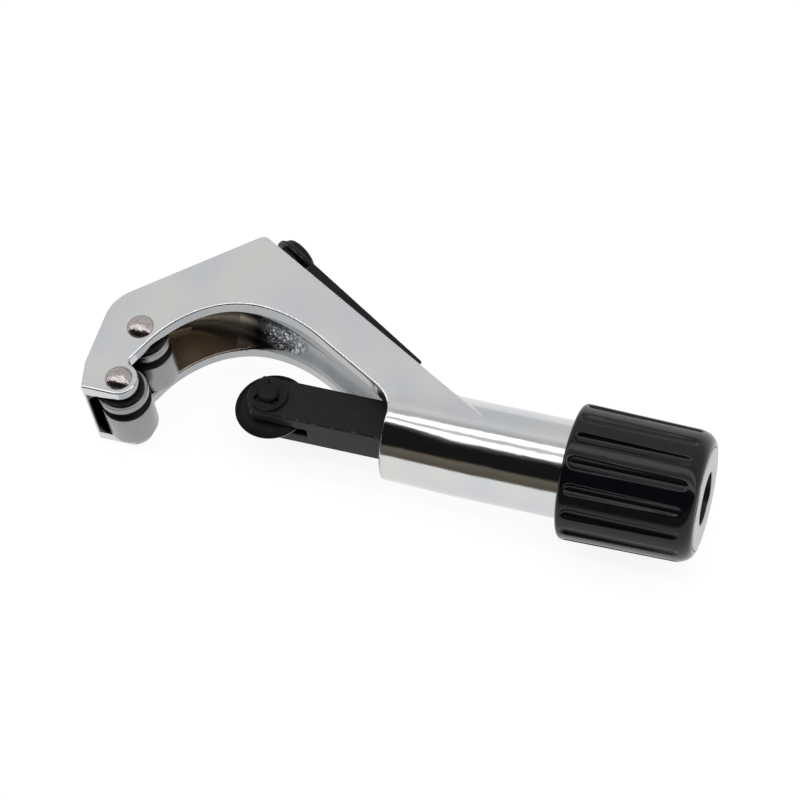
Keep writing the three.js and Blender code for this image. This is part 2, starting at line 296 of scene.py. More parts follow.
def bezier(p0, p1, p2, p3, steps=40):
    """Points along a cubic curve, after its first."""
    t = np.linspace(0, 1, steps + 1)[1:, None]
    p0, p1, p2, p3 = (np.array(p, float) for p in (p0, p1, p2, p3))
    early = (1 - t) ** 3 * p0 + 3 * (1 - t) ** 2 * t * p1
    return [tuple(p) for p in early + 3 * (1 - t) * t * t * p2 + t**3 * p3]


def curve(p0, control, p1, steps=16):
    """Points along a curve with one control point, after its first."""
    t = np.linspace(0, 1, steps + 1)[1:, None]
    p0, control, p1 = (np.array(p, float) for p in (p0, control, p1))
    return [tuple(p) for p in (1 - t) ** 2 * p0 + 2 * (1 - t) * t * control + t * t * p1]


def arc(centre, radius, start, end, steps=24):
    """Points round part of a circle, both ends included."""
    angles = np.linspace(start, end, steps + 1)
    return [(centre[0] + radius * math.cos(a), centre[1] + radius * math.sin(a)) for a in angles]


class Outline:
    """Signed distance to a closed outline in X and Y, kept on a fine grid and read with cubic splines."""

    def __init__(self, corners, step=0.35, margin=4.0):
        corners = np.array(corners, float)
        self.step = step
        self.low = corners.min(0) - margin
        size = np.ceil((corners.max(0) + margin - self.low) / step).astype(int) + 1
        x = (self.low[0] + step * np.arange(size[0]))[:, None]
        y = (self.low[1] + step * np.arange(size[1]))[None, :]
        nearest = np.full(size, 1e9)
        inside = np.zeros(size, bool)
        for (x0, y0), (x1, y1) in zip(corners, np.roll(corners, -1, 0)):
            ex, ey = x1 - x0, y1 - y0
            if ex == 0 and ey == 0:
                continue
            wx, wy = x - x0, y - y0
            along = np.clip((wx * ex + wy * ey) / (ex * ex + ey * ey), 0, 1)
            nearest = np.minimum(nearest, (wx - ex * along) ** 2 + (wy - ey * along) ** 2)
            if ey != 0:
                inside ^= ((y0 > y) != (y1 > y)) & (x < x0 + wy * ex / ey)
        self.grid = np.where(inside, -1, 1) * np.sqrt(nearest)

    def __call__(self, x, y):
        x, y = np.broadcast_arrays(x, y)
        u = np.clip((x - self.low[0]) / self.step, 1, self.grid.shape[0] - 3.001)
        v = np.clip((y - self.low[1]) / self.step, 1, self.grid.shape[1] - 3.001)
        i, j = u.astype(int), v.astype(int)
        across, up = spline_weights(u - i), spline_weights(v - j)
        total = np.zeros(x.shape)
        for a in range(4):
            for b in range(4):
                total += across[a] * up[b] * self.grid[i - 1 + a, j - 1 + b]
        return total


def spline_weights(f):
    """The shares of four neighbouring grid values at a place f of the way between the middle two."""
    return (1 - f) ** 3 / 6, (3 * f**3 - 6 * f**2 + 4) / 6, (-3 * f**3 + 3 * f**2 + 3 * f + 1) / 6, f**3 / 6


def gradient(field, points, reach):
    """The field's slope at each point, from samples reach to either side."""
    columns = []
    for axis in np.eye(3) * reach:
        columns.append(field(*(points + axis).T) - field(*(points - axis).T))
    return np.stack(columns, 1) / (2 * reach)


def edge_amount(field, points, reach):
    """About 1 on convex edges and 0 on flat and hollow places."""
    total = -6 * field(*points.T)
    for axis in np.eye(3) * reach:
        total = total + field(*(points + axis).T) + field(*(points - axis).T)
    return np.clip(total / reach * 0.9, 0, 1)


def surface(field, low, high, step):
    """Quads round a distance field's zero surface, with points and normals moved onto it."""
    size = [int(math.ceil((h - l) / step)) + 1 for l, h in zip(low, high)]
    x, y, z = (l + step * np.arange(n) for l, n in zip(low, size))
    values = np.array(np.broadcast_to(field(x[:, None, None], y[None, :, None], z[None, None, :]), size))
    inside = values < 0
    corners = sum(
        inside[a : size[0] - 1 + a, b : size[1] - 1 + b, c : size[2] - 1 + c].astype(np.uint8)
        for a in (0, 1) for b in (0, 1) for c in (0, 1)
    )
    active = (corners > 0) & (corners < 8)
    cells = np.argwhere(active)
    number = np.full(active.shape, -1)
    number[active] = np.arange(len(cells))
    total, hits = np.zeros((len(cells), 3)), np.zeros(len(cells))
    for axis in range(3):
        first, second = [k for k in range(3) if k != axis]
        for p in (0, 1):
            for q in (0, 1):
                start = cells.copy()
                start[:, first] += p
                start[:, second] += q
                end = start.copy()
                end[:, axis] += 1
                v0, v1 = values[tuple(start.T)], values[tuple(end.T)]
                crosses = (v0 < 0) != (v1 < 0)
                point = start.astype(float)
                point[:, axis] += np.where(crosses, v0 / np.where(crosses, v0 - v1, 1), 0)
                total[crosses] += point[crosses]
                hits[crosses] += 1
    points = np.array(low) + step * total / hits[:, None]
    for _ in range(3):
        slope = gradient(field, points, 0.1 * step)
        shift = np.clip(field(*points.T), -step / 2, step / 2) / np.maximum((slope**2).sum(1), 0.25)
        points = points - shift[:, None] * slope
    normals = gradient(field, points, 0.35 * step)
    normals /= np.maximum(np.linalg.norm(normals, axis=1), 1e-9)[:, None]
    quads = []
    for axis in range(3):
        order = (axis, (axis + 1) % 3, (axis + 2) % 3)
        solid, cell = np.transpose(inside, order), np.transpose(number, order)
        near, far = solid[:-1, 1:-1, 1:-1], solid[1:, 1:-1, 1:-1]
        i, j, k = np.nonzero(near != far)
        quad = np.stack([cell[i, j, k], cell[i, j + 1, k], cell[i, j + 1, k + 1], cell[i, j, k + 1]], 1)
        leaving = near[i, j, k]
        quads += [quad[leaving], quad[~leaving][:, ::-1]]
    return points, np.concatenate(quads), normals


def carved(name, field, low, high, step, look, body, node, edge_wear_and_sheen=0.6, reach=0.15):
    """A blackened piece from a distance field; its convex edges can be painted greyer, partly rubbed bare and
    partly as a painted highlight.
    """
    points, faces, normals = surface(field, low, high, step)
    values = {"edge": edge_wear_and_sheen * edge_amount(field, points, reach)}
    make_piece(name, points, faces, look, body, [node], normals, values)


# ---- material helpers
class Look:
    """A Principled material under construction, with texture coordinates in millimetres."""

    def __init__(self, name):
        self.material = bpy.data.materials.new(name)
        self.material.use_nodes = True
        self.tree = self.material.node_tree
        self.shader = self.tree.nodes["Principled BSDF"]
        self.height = None

    def node(self, kind, **inputs):
        made = self.tree.nodes.new("ShaderNode" + kind)
        for key, value in inputs.items():
            self.put(made.inputs[key.replace("_", " ")], value)
        return made

    def put(self, socket, value):
        """Links another node's output to a socket, or sets a plain value there."""
        if isinstance(value, bpy.types.NodeSocket):
            self.tree.links.new(value, socket)
        else:
            socket.default_value = value

    def where(self, stretch=(1, 1, 1)):
        """Coordinates in millimetres; a small stretch draws the pattern out along that axis."""
        coordinates = self.tree.nodes.new("ShaderNodeTexCoord")
        mapping = self.node("Mapping", Vector=coordinates.outputs["Object"])
        mapping.inputs["Scale"].default_value = [s / MM for s in stretch]
        return mapping.outputs["Vector"]

    def noise(self, scale, detail=3.0, roughness=0.55, stretch=(1, 1, 1), distortion=0.0):
        made = self.node(
            "TexNoise", Vector=self.where(stretch), Scale=scale, Detail=detail,
            Roughness=roughness, Distortion=distortion,
        )
        return made.outputs["Fac"]

    def levels(self, factor, low, high, start=0.0, end=1.0, smooth=False):
        made = self.tree.nodes.new("ShaderNodeMapRange")
        made.interpolation_type = "SMOOTHSTEP" if smooth else "LINEAR"
        self.put(made.inputs["Value"], factor)
        for key, value in (("From Min", low), ("From Max", high), ("To Min", start), ("To Max", end)):
            self.put(made.inputs[key], value)
        return made.outputs["Result"]

    def maths(self, operation, a, b=0.0):
        made = self.tree.nodes.new("ShaderNodeMath")
        made.operation = operation
        self.put(made.inputs[0], a)
        self.put(made.inputs[1], b)
        return made.outputs["Value"]

    def mix(self, factor, a, b):
        made = self.tree.nodes.new("ShaderNodeMix")
        made.data_type = "RGBA"
        self.put(made.inputs["Factor"], factor)
        self.put(made.inputs[6], a)
        self.put(made.inputs[7], b)
        return made.outputs[2]

    def attribute(self, name):
        made = self.tree.nodes.new("ShaderNodeAttribute")
        made.attribute_name = name
        return made.outputs["Fac"]

    def bump(self, height, distance_mm, strength=1.0):
        made = self.node("Bump", Height=height, Strength=strength, Distance=distance_mm * MM)
        if self.height is not None:
            self.tree.links.new(self.height, made.inputs["Normal"])
        self.height = made.outputs["Normal"]
        self.put(self.shader.inputs["Normal"], self.height)

    def finish(self, **values):
        for key, value in values.items():
            self.put(self.shader.inputs[key.replace("_", " ")], value)
        return self.material


def rgb(red, green, blue):
    """An opaque colour."""
    return (red, green, blue, 1.0)


# ---- materials
def chrome_casting():
    """Plated casting: bright on the barrel, satin on the flat faces, with painted shade and a painted brown
    reflection in the pocket.
    """
    look = Look("chrome_casting")
    satin = look.attribute("satin")
    cast = look.attribute("rough_cast")
    inner = look.attribute("inner")
    mottle = look.levels(look.noise(0.09, detail=0), 0.25, 0.75, smooth=True)
    plated = look.mix(mottle, rgb(0.575, 0.589, 0.612), rgb(0.63, 0.626, 0.612))
    bands = look.noise(0.16, detail=3, stretch=(1, 1, 0.3))
    # Painted shade in the hollow, read from inner: grey near the barrel, near black further in, then a
    # painted brown reflection deep inside.
    grey = look.mix(bands, rgb(0.16, 0.17, 0.18), rgb(0.26, 0.27, 0.28))
    painted_shade_dark = look.mix(bands, rgb(0.018, 0.017, 0.016), rgb(0.04, 0.038, 0.035))
    painted_brown_reflection = look.mix(bands, rgb(0.28, 0.235, 0.19), rgb(0.52, 0.45, 0.375))
    tint = look.mix(look.levels(inner, 0.0, 0.5), plated, grey)
    tint = look.mix(look.levels(inner, 0.5, 0.75), tint, painted_shade_dark)
    tint = look.mix(look.levels(inner, 0.75, 1.0), tint, painted_brown_reflection)
    streaks = look.noise(1.6, detail=3, stretch=(0.06, 1, 1))
    bright = look.levels(streaks, 0.35, 0.75, 0.06, 0.13)
    cloudy = look.levels(look.noise(0.11, detail=0), 0.25, 0.75, 0.275, 0.305, smooth=True)
    roughness = look.mix(satin, bright, cloudy)
    wave = look.noise(0.13, detail=2, roughness=0.4, stretch=(0.55, 1, 1))
    look.bump(wave, 0.09)
    dents = look.noise(0.42, detail=2, roughness=0.5, stretch=(0.4, 1, 1))
    look.bump(look.maths("MULTIPLY", dents, look.levels(satin, 0.0, 1.0, 1.0, 0.15)), 0.03)
    relief = look.levels(look.noise(0.75, detail=2, distortion=1.6), 0.44, 0.56, smooth=True)
    pits_and_glints = look.maths("MULTIPLY", relief, look.levels(cast, 0.0, 0.35))
    look.bump(pits_and_glints, 0.45)
    # Painted glints: the rough patch's raised spots are painted pale.
    tint = look.mix(look.maths("MULTIPLY", pits_and_glints, 0.75), tint, rgb(0.62, 0.64, 0.66))
    shiny = look.mix(look.levels(cast, 0.0, 0.35), roughness, rgb(0.13, 0.13, 0.13))
    return look.finish(Base_Color=tint, Metallic=1.0, Roughness=shiny)


def turned_steel():
    """Ground rollers with fine rings round their axis."""
    look = Look("roller_steel")
    rings = look.noise(7.0, detail=4, roughness=0.7, stretch=(0.04, 0.04, 1))
    haze = look.noise(0.4, detail=4)
    tint = look.mix(look.maths("MULTIPLY", rings, haze), rgb(0.315, 0.312, 0.312), rgb(0.17, 0.167, 0.165))
    look.bump(rings, 0.0015)
    return look.finish(
        Base_Color=tint, Metallic=1.0, Roughness=look.levels(rings, 0.3, 0.7, 0.24, 0.32),
    )


def polished_pin():
    """Rivet heads, polished but hammered slightly uneven."""
    look = Look("pin_steel")
    haze = look.noise(0.9, detail=5, roughness=0.65)
    tint = look.mix(look.levels(haze, 0.3, 0.7), rgb(0.33, 0.295, 0.285), rgb(0.52, 0.48, 0.47))
    look.bump(look.noise(0.8, detail=2), 0.16)
    look.bump(look.noise(2.4, detail=3), 0.012)
    return look.finish(Base_Color=tint, Metallic=1.0, Roughness=look.levels(haze, 0.3, 0.7, 0.10, 0.22))


def black_oxide(name="black_oxide", lift=1.0, specular=0.12):
    """Blackened steel with dust specks and scratches; its convex edges are painted greyer, partly rubbed bare
    and partly as a painted highlight; lift lightens it all.
    """
    look = Look(name)
    cloud = look.noise(0.35, detail=5, roughness=0.6)
    specks = look.levels(look.noise(2.6, detail=6, roughness=0.75), 0.66, 0.74, smooth=True)
    patchy = look.levels(look.noise(0.9, detail=5), 0.3, 0.7, -0.5, 0.25)
    worn_and_highlit_edges = look.levels(look.maths("ADD", look.attribute("edge"), patchy), 0.35, 0.8, smooth=True)
    deep = tuple(lift * level for level in (0.0065, 0.0065, 0.0068))
    pale = tuple(lift * level for level in (0.0135, 0.0132, 0.0130))
    dark = look.mix(cloud, rgb(*deep), rgb(*pale))
    dusty = look.mix(look.maths("MULTIPLY", specks, 0.25), dark, rgb(0.07, 0.066, 0.062))
    # Convex edges painted greyer: partly rubbed-bare steel, partly a painted highlight.
    colour = look.mix(look.maths("MULTIPLY", worn_and_highlit_edges, 0.7), dusty, rgb(0.115, 0.112, 0.108))
    scratch = look.noise(3.0, detail=4, stretch=(0.08, 1, 1))
    look.bump(scratch, 0.008)
    look.bump(look.noise(4.5, detail=4, roughness=0.7), 0.012)
    return look.finish(
        Base_Color=colour, Metallic=0.0, Roughness=look.levels(cloud, 0.3, 0.7, 0.36, 0.48),
        Specular_IOR_Level=specular,
    )


def cutting_edge():
    """The wheel's ground rim, bare steel."""
    look = Look("tool_steel_edge")
    rings = look.noise(9.0, detail=3)
    return look.finish(
        Base_Color=look.mix(rings, rgb(0.32, 0.32, 0.33), rgb(0.55, 0.55, 0.56)), Metallic=1.0,
        Roughness=look.levels(rings, 0.3, 0.7, 0.2, 0.32),
    )


def black_plastic():
    """Glossy moulded grip with faint flow marks."""
    look = Look("black_plastic")
    flow = look.noise(0.25, detail=4)
    tint = look.mix(flow, rgb(0.0028, 0.0028, 0.0042), rgb(0.0055, 0.0055, 0.0085))
    look.bump(look.noise(0.35, detail=2, stretch=(0.4, 1, 1)), 0.03)
    look.bump(look.noise(6.0, detail=2), 0.0008)
    return look.finish(
        Base_Color=tint, Roughness=look.levels(flow, 0.3, 0.7, 0.07, 0.12), Specular_IOR_Level=0.29,
    )


def satin_zinc():
    """The hub's pale, slightly clouded face."""
    look = Look("zinc")
    cloud = look.noise(0.6, detail=6, roughness=0.65)
    fine = look.noise(6.0, detail=4)
    look.bump(fine, 0.01)
    return look.finish(
        Base_Color=look.mix(cloud, rgb(0.45, 0.455, 0.465), rgb(0.55, 0.545, 0.535)), Metallic=1.0,
        Roughness=look.levels(cloud, 0.3, 0.7, 0.38, 0.5),
    )


def dark_bore():
    """The hub's deep hole, dark and faintly blue."""
    look = Look("dark_bore")
    cloud = look.noise(0.7, detail=5)
    look.bump(look.noise(3.0, detail=4), 0.02)
    return look.finish(
        Base_Color=look.mix(cloud, rgb(0.006, 0.007, 0.014), rgb(0.014, 0.015, 0.028)), Metallic=0.3,
        Roughness=look.levels(cloud, 0.3, 0.7, 0.28, 0.45),
    )


def lathe_turned(name, dark, light, smooth, rough):
    """Metal with the lathe's fine marks round the feed axis."""
    look = Look(name)
    rings = look.noise(5.0, detail=4, stretch=(1, 0.05, 0.05))
    look.bump(rings, 0.008)
    return look.finish(
        Base_Color=look.mix(rings, dark, light), Metallic=1.0,
        Roughness=look.levels(rings, 0.3, 0.7, smooth, rough),
    )


def pale_floor():
    """A white sheet that glows a little, as a lighting table does, so that shadows on it stay faint."""
    look = Look("floor")
    grain = look.noise(0.02, detail=3)
    return look.finish(
        Base_Color=look.mix(grain, rgb(0.18, 0.18, 0.18), rgb(0.20, 0.20, 0.20)), Roughness=0.9,
        Specular_IOR_Level=0.0, Emission_Color=rgb(1, 1, 1), Emission_Strength=0.9,
    )


chrome = chrome_casting()
steel = turned_steel()
pin_steel = polished_pin()
oxide = black_oxide()
oxide_light = black_oxide("black_oxide_bar", 1.3, 0.15)
edge_steel = cutting_edge()
plastic = black_plastic()
zinc = satin_zinc()
bore_black = dark_bore()
machined = lathe_turned("screw_steel", rgb(0.36, 0.36, 0.37), rgb(0.55, 0.55, 0.56), 0.25, 0.4)
brass = lathe_turned("brass", rgb(0.58, 0.41, 0.15), rgb(0.74, 0.57, 0.27), 0.22, 0.36)


# ---- the frame
def back_point(distance):
    """The point that far down the arm's back from the reamer's foot."""
    x, y = REAMER_FOOT
    return (x + distance * math.cos(BACK_SLOPE), y + distance * math.sin(BACK_SLOPE))


def head_outline():
    """The cheeks and the arm seen along the roller pins."""
    peak = back_point(-3.7)
    notch_r, notch_offset = 1.2, 1.8
    notch_angle = math.acos(notch_offset / (LOBE_R + notch_r))
    notch = (ROLLER_X + notch_offset, -ROLLER_Y + (LOBE_R + notch_r) * math.sin(notch_angle))
    corners = [(HEAD_LEFT + OPEN_END_INSET, OPEN_END)]
    corners += arc((ROLLER_X, -ROLLER_Y), LOBE_R, -math.pi / 2, notch_angle)
    corners += arc(notch, notch_r, notch_angle + math.pi, math.pi * 0.86, 8)
    arch_start = (-59.5, 3.4)
    arch_top = (-37.7, 18.9)
    arch_end = (-19.6, 13.4)
    corners += [arch_start]
    corners += bezier(arch_start, (-55.6, 12), (-47.5, 18.9), arch_top)
    corners += bezier(arch_top, (-31.5, 18.9), (-25.5, 16.9), arch_end)
    corners += [(-5.2, 5.35)]
    corners += curve((-5.2, 5.35), (-0.6, 2.8), (0, -0.8))
    corners += [(27.5, -0.8), (peak[0] + 1.2, peak[1] - 0.7)]
    corners += curve((peak[0] + 1.2, peak[1] - 0.7), peak, (peak[0] - 1.2, peak[1] - 0.9), 6)
    corners += [(-68.5, 16)]
    corners += curve((-68.5, 16), (HEAD_LEFT, 12.8), (HEAD_LEFT, 8.6))
    corners += [(HEAD_LEFT, -5)]
    return corners


def pocket_outline():
    """The hollow between the cheeks, open towards the jaw."""
    web = 1.1
    below = OPEN_END - 6
    left = HEAD_LEFT + OPEN_END_INSET + web
    corners = [(left, below), (0, below), (0, GUIDE_HALF), (-5, 7.6), (-24.2, 16.9)]
    corners += bezier((-24.2, 16.9), (-31, 20.5), (-40, 24.4), (-48, 24.4))
    corners += bezier((-48, 24.4), (-60, 24.4), (-69.3, 17), (HEAD_LEFT + web, 6))
    corners += [(HEAD_LEFT + web, -5), (left, OPEN_END)]
    return corners


head_distance = Outline(head_outline())
pocket_distance = Outline(pocket_outline(), margin=6.0)


def barrel_field(x, y, z):
    """A barrel that widens behind its mouth, with crests tangent to the cheeks' flats."""
    radial = np.hypot(y, z)
    widening = 16
    barrel_r = BARREL_MOUTH_R + (BARREL_REAR_R - BARREL_MOUTH_R) * np.clip(x / widening, 0, 1)
    crest = np.clip((np.abs(z) / np.maximum(radial, 1e-6) - 0.86) / 0.13, 0, 1)
    crest_r = FRAME_HALF + 0.03
    barrel_r = barrel_r + (crest_r - barrel_r) * crest * crest * (3 - 2 * crest)
    return slab(radial - barrel_r, np.abs(x - BARREL_END / 2) - BARREL_END / 2, 0.5)


def frame_field(x, y, z):
    """The whole casting: head and barrel run together, less the hollow, guide, nut seat and pin holes."""
    height = np.abs(z)
    radial = np.hypot(y, z)
    head = slab(head_distance(x, y), height - FRAME_HALF, 0.45)
    merge = 0.05 + 5.0 * np.clip((FRAME_HALF - height) / 7, 0, 1)
    body = smooth_union(head, barrel_field(x, y, z), merge)
    corner_r = 3.2 + 4.0 * np.clip((x + 58) / 12, 0, 1)
    pocket = slab(pocket_distance(x, y), height - POCKET_HALF, corner_r)
    body = smooth_cut(body, pocket, 0.5)
    guide_middle, guide_reach = 16, 20.5
    guide = slab(np.maximum(np.abs(y), height) - GUIDE_HALF, np.abs(x - guide_middle) - guide_reach, 0.3)
    body = smooth_cut(body, guide, 0.35)
    mouth_r, mouth_middle, mouth_reach = 7.2, -5, 9
    clearance = slab(radial - mouth_r, np.abs(x - mouth_middle) - mouth_reach, 0.4)
    body = smooth_cut(body, clearance, 0.35)
    nut_seat = np.maximum(radial - NUT_R - 0.05, NUT_START - 0.3 - x)
    body = np.maximum(body, -nut_seat)
    for side in (-1, 1):
        pin_hole = np.hypot(x - ROLLER_X, y - side * ROLLER_Y) - PIN_R - 0.05
        body = np.maximum(body, -pin_hole)
    return body


def casting_finish(points, normals):
    """Three values per point: how satin, how rough from the mould, and how much painted shade the plating
    gets.

    satin is 1 on the cheeks' flats and 0 on the barrel. inner runs from 0 on bright plating,
    over 0.5 for grey painted shade in the hollow near the barrel and 0.75 for the darkest painted shade, to 1
    for a painted brown reflection.
    """
    x, y, z = points.T
    flatness = np.clip((np.abs(normals[:, 2]) - 0.97) / 0.02, 0, 1)
    off_barrel = np.clip(np.clip((y + 1.5) / 9, 0, 1) + np.clip((2 - x) / 6, 0, 1), 0, 1)
    hollow = (np.abs(z) < POCKET_HALF + 0.3) & (pocket_distance(x, y) < 0.4)
    wall = np.clip((-x - 4) / 4, 0, 1) * 0.35
    satin = np.maximum(flatness * off_barrel, wall * hollow)
    # Painted shade deepens into the pocket and becomes a painted brown reflection, falling back to the
    # darkest shade near the head's far end.
    deep = np.clip((-35 - x) / 12, 0, 1) - 0.5 * np.clip((-61 - x) / 5, 0, 1)
    pocket_shade = hollow * (0.5 + 0.5 * deep)
    rim = (np.abs(normals[:, 2]) < 0.5) & (np.abs(z) > POCKET_HALF - 0.3) & (x < -3) & (x > -61)
    arch_side = (y < 19.5) & (y + 0.56 * (x - REAMER_FOOT[0]) < 30)
    # The cheeks' edge faces along the arch get a light painted shade.
    pocket_shade = np.where(rim & arch_side & (head_distance(x, y) > -0.3), 0.27, pocket_shade)
    satin = np.where(hollow & (pocket_shade > 0.45), 0.35 + 1.3 * (pocket_shade - 0.5), satin)
    cast_centre = np.array((-33.5, 21.0, -0.5))
    cast_size = np.array((7.0, 5.0, 5.5))
    reach = np.linalg.norm((points - cast_centre) / cast_size, axis=1)
    cast = np.clip(1.2 - reach, 0, 1) * hollow
    return {"satin": satin, "rough_cast": cast, "inner": pocket_shade}


def add_frame():
    """The casting, whose finish changes from place to place, with painted shade and a painted brown
    reflection in the pocket.
    """
    low = (HEAD_LEFT - 1, OPEN_END - 1.5, -FRAME_HALF - 1)
    high = (BARREL_END + 1, 40, FRAME_HALF + 1)
    points, faces, normals = surface(frame_field, low, high, 0.4)
    make_piece(
        "frame_casting", points, faces, chrome, "frame", ["frame"],
        normals, casting_finish(points, normals),
    )


# ---- rollers and rivets
def add_roller(suffix, y):
    """A ground roller with a blackened flare groove, its pressed washer and the rivet through them."""
    centre = (ROLLER_X, y, 0)
    low, high = -POCKET_HALF + 0.3, 6.75
    groove_low, groove_high, groove_slope = 1.7, 4.7, 0.5
    bore = PIN_R + 0.05
    profile = [
        (low, bore), (low, ROLLER_R), (groove_low, ROLLER_R),
        (groove_low + groove_slope, ROLLER_GROOVE_R), (groove_high - groove_slope, ROLLER_GROOVE_R),
        (groove_high, ROLLER_R), (high, ROLLER_R), (high, bore),
    ]

    def in_groove(point):
        outside_bore = (point.xy - Vector(centre).xy).length > bore + 0.5
        return groove_low + 0.05 < point.z < groove_high - 0.05 and outside_bore

    roller = turned(
        f"roller_{suffix}_ground", profile, "Z", [steel, oxide], f"roller_{suffix}",
        centre, [f"roller_{suffix}"], edge=0.3,
    )
    paint_faces(roller, 1, in_groove)
    washer_low, washer_high, washer_r = 7.05, 7.75, 5.2
    washer = [(washer_low, bore), (washer_low, washer_r), (washer_high, washer_r), (washer_high, bore)]
    turned(
        f"roller_washer_{suffix}_pressed", washer, "Z", oxide,
        "frame", centre, [f"roller_washer_{suffix}"],
    )
    head, head_r, head_height = FRAME_HALF + 0.02, 3.2, 1.6
    rivet = [(-FRAME_HALF, 0), (-FRAME_HALF, PIN_R), (head, PIN_R), *cap(head, head_r, head_height)]
    turned(
        f"rivet_{suffix}", rivet, "Z", pin_steel, "frame", centre,
        [f"roller_pin_{suffix}"], edge=0.08,
    )


# ---- the slide and the wheel
def slide_field(x, y, z):
    """A square bar with a chamfered nose, a slot for the wheel, and holes for its pin and the feed screw."""
    lean = math.radians(28.6)
    corner = (WHEEL_X - x) * math.cos(lean) + np.abs(y) * math.sin(lean) - SLIDE_HALF
    side = np.maximum(np.maximum(np.abs(y) - SLIDE_HALF, corner), WHEEL_X - x - SLIDE_HALF)
    bar = slab(slab(side, np.abs(z) - SLIDE_HALF, 0.55), x - SLIDE_END, 0.4)
    slot = slab(np.abs(z) - SLOT_HALF + 0 * x, x - SLOT_END + 0 * z, 0.3)
    bar = smooth_cut(bar, slot, 0.3)
    bar = np.maximum(bar, WHEEL_PIN_R + 0.03 - np.hypot(x - WHEEL_X, y))
    screw_bore_r, screw_bore_start = 3.3, 12.8
    screw_bore = np.maximum(np.hypot(y, z) - screw_bore_r, screw_bore_start - x)
    return np.maximum(bar, -screw_bore)


def add_slide_bar():
    """The bar, its edges painted grey: partly rubbed through, partly a painted highlight."""
    low = (WHEEL_X - SLIDE_HALF - 1, -SLIDE_HALF - 1, -SLIDE_HALF - 1)
    high = (SLIDE_END + 1, SLIDE_HALF + 1, SLIDE_HALF + 1)
    carved("slide_milled", slide_field, low, high, 0.3, oxide_light, "slide", "slide_bar", edge_wear_and_sheen=1, reach=0.3)


def clip_field(x, y, z):
    """A stamped E-clip round the wheel's pin: a ring with a mouth and two relief notches."""
    x = x - WHEEL_X
    radius = np.hypot(x, y)
    outer_r, inner_r = 4.45, 1.85
    ring = np.maximum(radius - outer_r, inner_r - radius)
    opening = np.maximum(np.abs(x) - 1.15, -y)
    ring = smooth_cut(ring, opening, 0.3)
    for side in (-1, 1):
        angle = math.radians(-90 + 50 * side)
        relief = np.hypot(x - 2.55 * math.cos(angle), y - 2.55 * math.sin(angle)) - 1.0
        ring = smooth_cut(ring, relief, 0.3)
    return slab(ring, np.abs(z - SLIDE_HALF - 0.4) - 0.4, 0.14)


def add_wheel():
    """The cutting wheel with its bright edge, and the headed pin and clip that hold it."""
    centre = (WHEEL_X, 0, 0)
    bore = WHEEL_PIN_R + 0.03
    bevel_r, edge_half = 7.0, 0.05
    profile = [
        (-WHEEL_HALF, bore), (-WHEEL_HALF, bevel_r), (-edge_half, WHEEL_R),
        (edge_half, WHEEL_R), (WHEEL_HALF, bevel_r), (WHEEL_HALF, bore),
    ]
    wheel = turned(
        "cutter_wheel_ground", profile, "Z", [oxide, edge_steel], "wheel", centre,
        ["cutter_wheel"], edge=0.06, segments=160,
    )
    paint_faces(wheel, 1, lambda c: (c.xy - Vector(centre).xy).length > WHEEL_R - 0.3)
    groove_r = 1.75
    head_low, head_r = -SLIDE_HALF - 1.5, 3.8
    clip_low, clip_high = SLIDE_HALF, SLIDE_HALF + 0.8
    pin = [
        (head_low, 0), (head_low, head_r - 0.4), (head_low + 0.4, head_r), (-SLIDE_HALF, head_r),
        (-SLIDE_HALF, WHEEL_PIN_R),
        (clip_low - 0.05, WHEEL_PIN_R), (clip_low - 0.05, groove_r), (clip_high + 0.05, groove_r),
        (clip_high + 0.05, WHEEL_PIN_R), *dome(clip_high + 0.5, WHEEL_PIN_R, 0.75),
    ]
    turned("wheel_pin_headed", pin, "Z", oxide, "slide", centre, ["wheel_pin"], edge=0.12)
    low = (WHEEL_X - 5.2, -5.2, SLIDE_HALF - 0.5)
    high = (WHEEL_X + 5.2, 5.2, SLIDE_HALF + 1.3)
    carved("wheel_clip_stamped", clip_field, low, high, 0.16, oxide, "slide", "wheel_clip")


# ---- the feed and knob
def grid_faces(rows, columns):
    """Quads over rows of points that each go once round."""
    faces = []
    for r in range(rows - 1):
        for c in range(columns):
            n = (c + 1) % columns
            faces.append((r * columns + c, r * columns + n, (r + 1) * columns + n, (r + 1) * columns + c))
    return faces


def ring_points(sections, angles):
    """Points round the feed axis, from (x, radii) sections with a radius for each angle."""
    points = []
    for x, radii in sections:
        points += [(x, radius * math.cos(a), radius * math.sin(a)) for radius, a in zip(radii, angles)]
    return points


def thread_height(x, angles):
    """The share of the thread's full height that stands round one section: 1 on crests, 0 in roots."""
    phase = (x / THREAD_LEAD - angles / (2 * np.pi)) % 1.0
    return np.clip(2.6 * (np.abs(phase - 0.5) * 2) - 0.8, 0, 1)


def plain_sections(profile, columns):
    """Round sections, from (x, radius) pairs."""
    return [(x, np.full(columns, r)) for x, r in profile]


def add_threaded(name, sections, angles, look, body, node):
    """A threaded piece, its ends closed by joining the points that fall together."""
    faces = grid_faces(len(sections), len(angles))
    points = ring_points(sections, angles)
    piece = make_piece(name, points, faces, look, body, [node], sharp=math.radians(45))
    face_outwards(piece, merge=1e-6)


